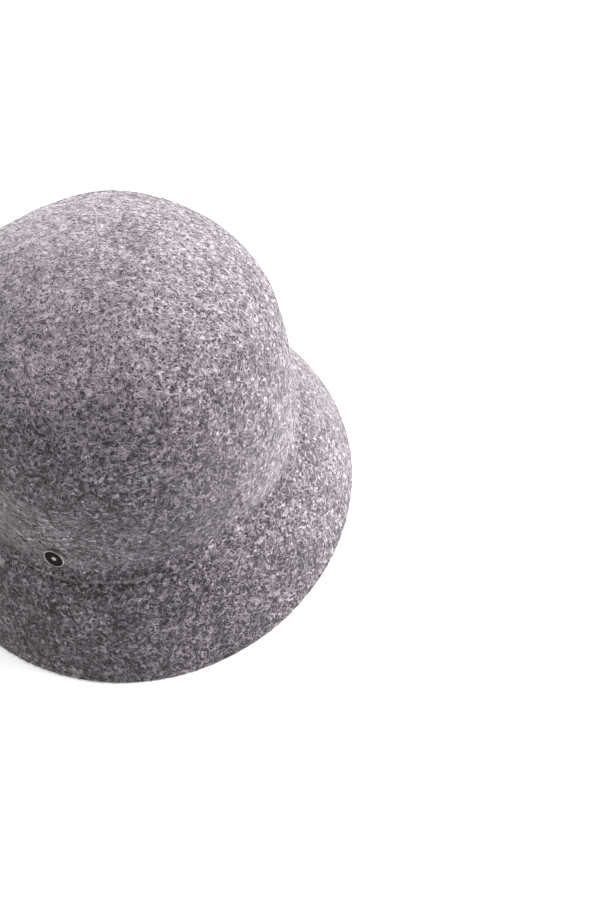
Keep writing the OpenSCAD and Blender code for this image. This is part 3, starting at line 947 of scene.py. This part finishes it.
def satin_material():
    """White satin label tape: long floats along the tape and woven edges."""
    made, tree, shader = new_material(
        "satin_tape", 0.36, Specular_IOR_Level=0.45, Sheen_Weight=0.15, Sheen_Roughness=0.3)
    where = cloth_coordinates(tree)
    stretched = node(tree, "ShaderNodeVectorMath", {0: where, 1: (7.0, 0.5, 1.0)},
                     operation="MULTIPLY").outputs[0]
    floats = noise(tree, stretched, 1.0, 3.0, 0.6).outputs["Fac"]
    clouds = noise(tree, in_mm(tree), 0.25, 2.0, 0.5).outputs["Fac"]
    tone = math_node(tree, "ADD", math_node(tree, "MULTIPLY", floats, 0.7),
                     math_node(tree, "MULTIPLY", clouds, 0.3))
    colour = ramp(tree, tone, [(0.3, (0.66, 0.66, 0.64)), (0.65, (0.84, 0.84, 0.82))])
    tree.links.new(colour, shader.inputs["Base Color"])
    bump(tree, shader, floats, 0.35, 0.08)
    return made


def thread_material():
    """Grey spun polyester with fine fibre lines."""
    made, tree, shader = new_material(
        "spun_thread", 0.6, Specular_IOR_Level=0.35, Sheen_Weight=0.3, Sheen_Roughness=0.35)
    tone = noise(tree, in_mm(tree), 4.0, 3.0, 0.65).outputs["Fac"]
    colour = ramp(tree, tone, [(0.3, (0.070, 0.066, 0.074)), (0.7, (0.16, 0.155, 0.165))])
    tree.links.new(colour, shader.inputs["Base Color"])
    bump(tree, shader, tone, 0.4, 0.06)
    return made


def badge_metal_material():
    """Pale champagne plating with fine handling marks and a tone that drifts in soft clouds."""
    made, tree, shader = new_material("champagne_plating", 0.34, Metallic=1.0)
    where = in_mm(tree)
    marks = noise(tree, where, 3.5, 4.0, 0.7).outputs["Fac"]
    clouds = noise(tree, where, 0.5, 2.0, 0.5).outputs["Fac"]
    colour = ramp(tree, clouds, [(0.3, (0.29, 0.26, 0.24)), (0.7, (0.47, 0.43, 0.41))])
    tree.links.new(colour, shader.inputs["Base Color"])
    tree.links.new(math_node(tree, "MULTIPLY_ADD", marks, 0.22), shader.inputs["Roughness"])
    bump(tree, shader, marks, 0.15, 0.03)
    return made


def enamel_material():
    """Black enamel with faint dust and orange peel."""
    made, tree, shader = new_material(
        "black_enamel", 0.45, Specular_IOR_Level=0.03)
    where = in_mm(tree)
    dust = noise(tree, where, 5.0, 4.0, 0.7).outputs["Fac"]
    colour = ramp(tree, dust, [(0.5, (0.004, 0.004, 0.004)), (0.8, (0.018, 0.017, 0.018))])
    tree.links.new(colour, shader.inputs["Base Color"])
    bump(tree, shader, noise(tree, where, 1.2, 1.0, 0.5).outputs["Fac"], 0.1, 0.03)
    return made


def washer_material():
    """Zinc plate with a brushed grain and dull spots."""
    made, tree, shader = new_material("zinc_plate", 0.4, Metallic=1.0)
    where = in_mm(tree)
    grain = node(tree, "ShaderNodeVectorMath", {0: where, 1: (0.4, 0.4, 9.0)},
                 operation="MULTIPLY").outputs[0]
    lines = noise(tree, grain, 1.0, 3.0, 0.6).outputs["Fac"]
    colour = ramp(tree, lines, [(0.3, (0.42, 0.43, 0.44)), (0.7, (0.62, 0.63, 0.65))])
    tree.links.new(colour, shader.inputs["Base Color"])
    tree.links.new(math_node(tree, "MULTIPLY_ADD", lines, 0.4), shader.inputs["Roughness"])
    bump(tree, shader, lines, 0.2, 0.03)
    return made


def dress_node(name, material):
    """Gives a CAD node that stays in view its material."""
    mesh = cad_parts[name]
    mesh.data.materials.clear()
    mesh.data.materials.append(material)


# ---------------------------------------------------------------- stage, light and camera

FLOOR_COLOUR = (0.86, 0.855, 0.85)
FLOOR_GLOW = 0.45
FLOOR_Z = -0.05
FLOOR_RADII = (1, 300, 1500, 6000.0)
BACKDROP_COLOUR = (0.572, 0.57, 0.566)
BACKDROP_RADIUS = 5500
ROOM_STRENGTH = 0.60
LIGHT_DISTANCE = 1.6
LIGHT_SIZE = 1.1
LIGHT_ELEVATION = 35
# Direction from +X in degrees, and watts
KEY_LIGHT = (21, 90)
BACK_LIGHT = (80, 27)

CAMERA_ELEVATION = math.radians(54.0)
CAMERA_AZIMUTH = math.radians(11.2)
CAMERA_ROLL = math.radians(1.06)
CAMERA_DISTANCE = 400.0
CAMERA_LENS = 29.7
AIM = np.array([0.0, 0.0, 60.0])
PAN_RIGHT = 93.8
PAN_DOWN = 28.06


def add_camera():
    """Camera above the front, turned a little to the right, with the hat at the left edge."""
    e, a, roll = CAMERA_ELEVATION, CAMERA_AZIMUTH, CAMERA_ROLL
    right = np.array([math.cos(a), -math.sin(a), 0])
    up = np.array([math.sin(e) * math.sin(a), math.sin(e) * math.cos(a), math.cos(e)])
    ahead = np.array([math.cos(e) * math.sin(a), math.cos(e) * math.cos(a), -math.sin(e)])
    turned = right * math.cos(roll) - up * math.sin(roll)
    raised = right * math.sin(roll) + up * math.cos(roll)
    place = AIM - CAMERA_DISTANCE * ahead + PAN_RIGHT * turned - PAN_DOWN * raised
    data = bpy.data.cameras.new("camera")
    data.lens = CAMERA_LENS
    data.sensor_width = 36.0
    data.clip_start = 0.01
    made = bpy.data.objects.new("camera", data)
    bpy.context.scene.collection.objects.link(made)
    axes = Matrix([turned, raised, -ahead]).transposed().to_4x4()
    made.matrix_world = Matrix.Translation(Vector(place * MM)) @ axes
    bpy.context.scene.camera = made


def stage_material(name, colour, glow):
    """Matt white with a glow of its own, as an overlit table has."""
    made, tree, shader = new_material(name, 0.9, Specular_IOR_Level=0.1)
    shader.inputs["Base Color"].default_value = (*colour, 1)
    shader.inputs["Emission Color"].default_value = (*colour, 1)
    shader.inputs["Emission Strength"].default_value = glow
    return made


def add_floor():
    """A broad round white table."""
    angle = np.linspace(0, 2 * np.pi, 97)[:-1]
    radius = np.array(FLOOR_RADII)
    points = np.stack([
        radius[:, None] * np.cos(angle), radius[:, None] * np.sin(angle),
        np.full((4, 96), FLOOR_Z)], -1)
    made = mesh_object("floor", points.reshape(-1, 3), grid_faces(4, 96, wrap_columns=True))
    made.data.materials.append(stage_material("white_table", FLOOR_COLOUR, FLOOR_GLOW))


def add_backdrop():
    """A white dome far behind the table, which is seen but doesn't light the hat."""
    angle = np.linspace(0, 2 * np.pi, 65)[:-1]
    rise = np.linspace(-0.1, np.pi / 2 - 0.01, 16)
    points = BACKDROP_RADIUS * np.stack([
        np.cos(rise)[:, None] * np.cos(angle), np.cos(rise)[:, None] * np.sin(angle),
        np.tile(np.sin(rise)[:, None], (1, 64))], -1)
    made = mesh_object("backdrop", points.reshape(-1, 3), grid_faces(16, 64, wrap_columns=True))
    made.data.materials.append(stage_material("white_backdrop", BACKDROP_COLOUR, 1.0))
    for way in ("diffuse", "glossy", "transmission", "shadow", "volume_scatter"):
        setattr(made, f"visible_{way}", False)


def area_light(name, azimuth, watts):
    """A square soft light that points at the hat."""
    data = bpy.data.lights.new(name, "AREA")
    data.shape = "SQUARE"
    data.size = LIGHT_SIZE
    data.energy = watts
    made = bpy.data.objects.new(name, data)
    bpy.context.scene.collection.objects.link(made)
    a, e = math.radians(azimuth), math.radians(LIGHT_ELEVATION)
    way = Vector((math.cos(e) * math.cos(a), math.cos(e) * math.sin(a), math.sin(e)))
    made.location = Vector((0, 0, 0.08)) + way * LIGHT_DISTANCE
    made.rotation_mode = "QUATERNION"
    made.rotation_quaternion = way.to_track_quat("Z", "Y")


def add_light():
    """White surroundings, a strong soft light from the right and a weaker one behind."""
    world = bpy.data.worlds.new("white_room")
    world.use_nodes = True
    background = world.node_tree.nodes["Background"]
    background.inputs["Color"].default_value = (1.0, 1.0, 1.0, 1)
    background.inputs["Strength"].default_value = ROOM_STRENGTH
    bpy.context.scene.world = world
    area_light("key", *KEY_LIGHT)
    area_light("back", *BACK_LIGHT)
    bpy.context.scene.view_settings.view_transform = "Standard"


# ---------------------------------------------------------------- the whole hat


def build():
    """Every piece of the hat."""
    felt_hood(felt_material())
    lying_fibres({
        "dark": fibre_material("wool_dark", (0.018, 0.014, 0.018), (0.064, 0.053, 0.062), 0.5),
        "mid": fibre_material("wool_mid", (0.135, 0.117, 0.132), (0.270, 0.240, 0.262), 0.5),
        "pale": fibre_material("wool_pale", (0.300, 0.268, 0.293), (0.500, 0.458, 0.491), 0.4),
    }, LYING)
    standing_fibres(fibre_material("wool_fuzz", (0.420, 0.380, 0.410), (0.640, 0.595, 0.628), 0.6),
                    STANDING)
    sweatband(ribbon_material())
    brand_label(brand_label_material())
    satin = satin_material()
    folded_label("care_label_tape", "care_label", CARE_LOW, CARE_HIGH, CARE_CLOTH, CARE_TAIL,
                 1, satin)
    folded_label("size_tab_tape", "size_tab", TAB_LOW, TAB_HIGH, TAB_CLOTH, TAB_TAIL,
                 -1, satin)
    thread = thread_material()
    seam_needle_thread(thread)
    seam_bobbin_thread(thread)
    join_stitches(thread)
    brand_label_stitches(thread)
    care_label_stitches(thread)
    dress_node("badge_plate", badge_metal_material())
    dress_node("badge_enamel", enamel_material())
    dress_node("badge_washer", washer_material())


add_camera()
add_light()
add_floor()
add_backdrop()
build()
